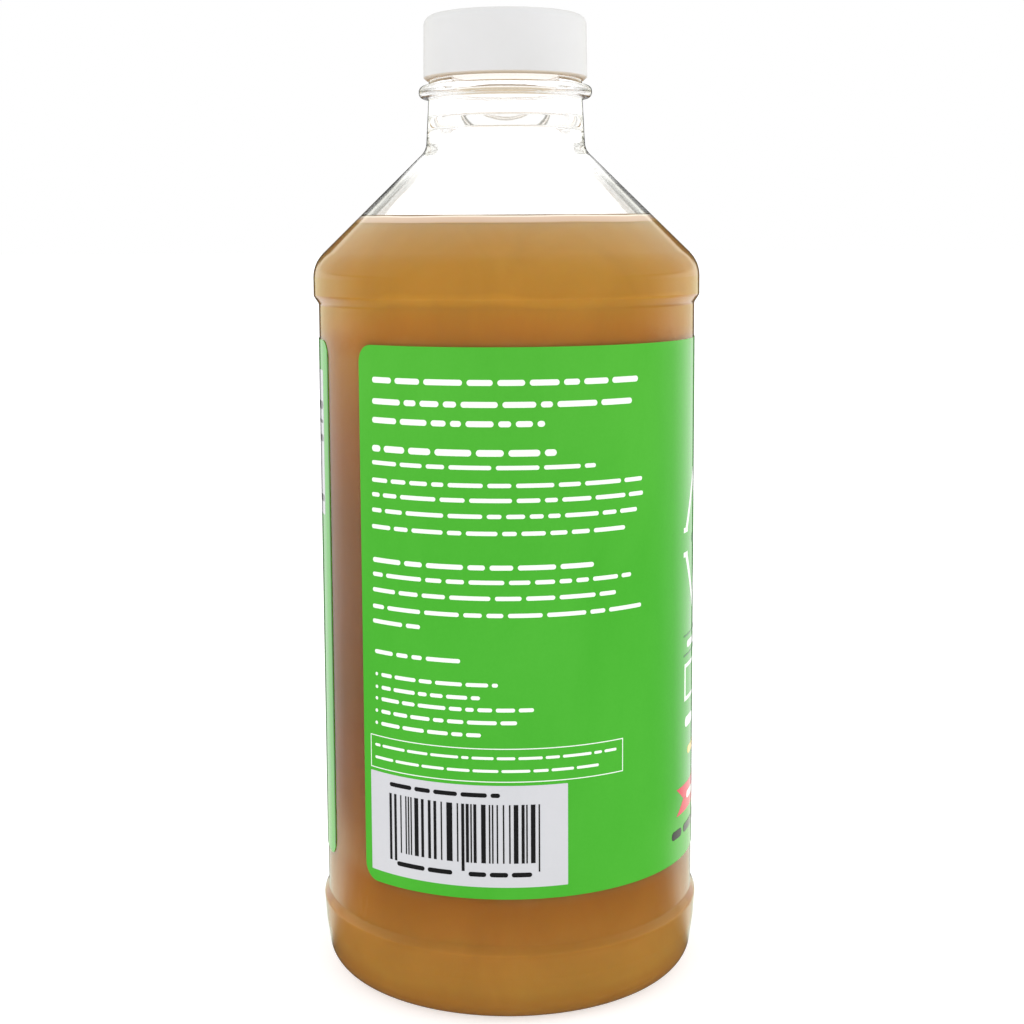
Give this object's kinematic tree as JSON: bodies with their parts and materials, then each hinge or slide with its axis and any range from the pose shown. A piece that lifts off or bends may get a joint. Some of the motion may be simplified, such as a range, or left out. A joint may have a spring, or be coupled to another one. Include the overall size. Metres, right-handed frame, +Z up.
{
  "type": "apple cider vinegar bottle",
  "caption": "Clear plastic bottle filled to its shoulder with cloudy amber vinegar, closed by a smooth white screw cap, with a green wrap label round its straight body.",
  "frame": {"origin": "on the bottle's axis, at the plane it stands on", "axes": "+Z up along the bottle's axis; -Y is the pictured side, with the gap between the label's ends at its left, towards -X"},
  "size_m": [0.0696, 0.0696, 0.1725],
  "materials": {
    "clear_plastic": "clear glossy plastic, smooth",
    "vinegar": "cloudy amber liquid",
    "cap_plastic": "smooth satin white plastic",
    "label_film": "printed film, satin"
  },
  "bodies": {
    "root": {"bottle": "clear_plastic", "vinegar": "vinegar", "cap": "cap_plastic", "label": "label_film"}
  },
  "joints": []
}
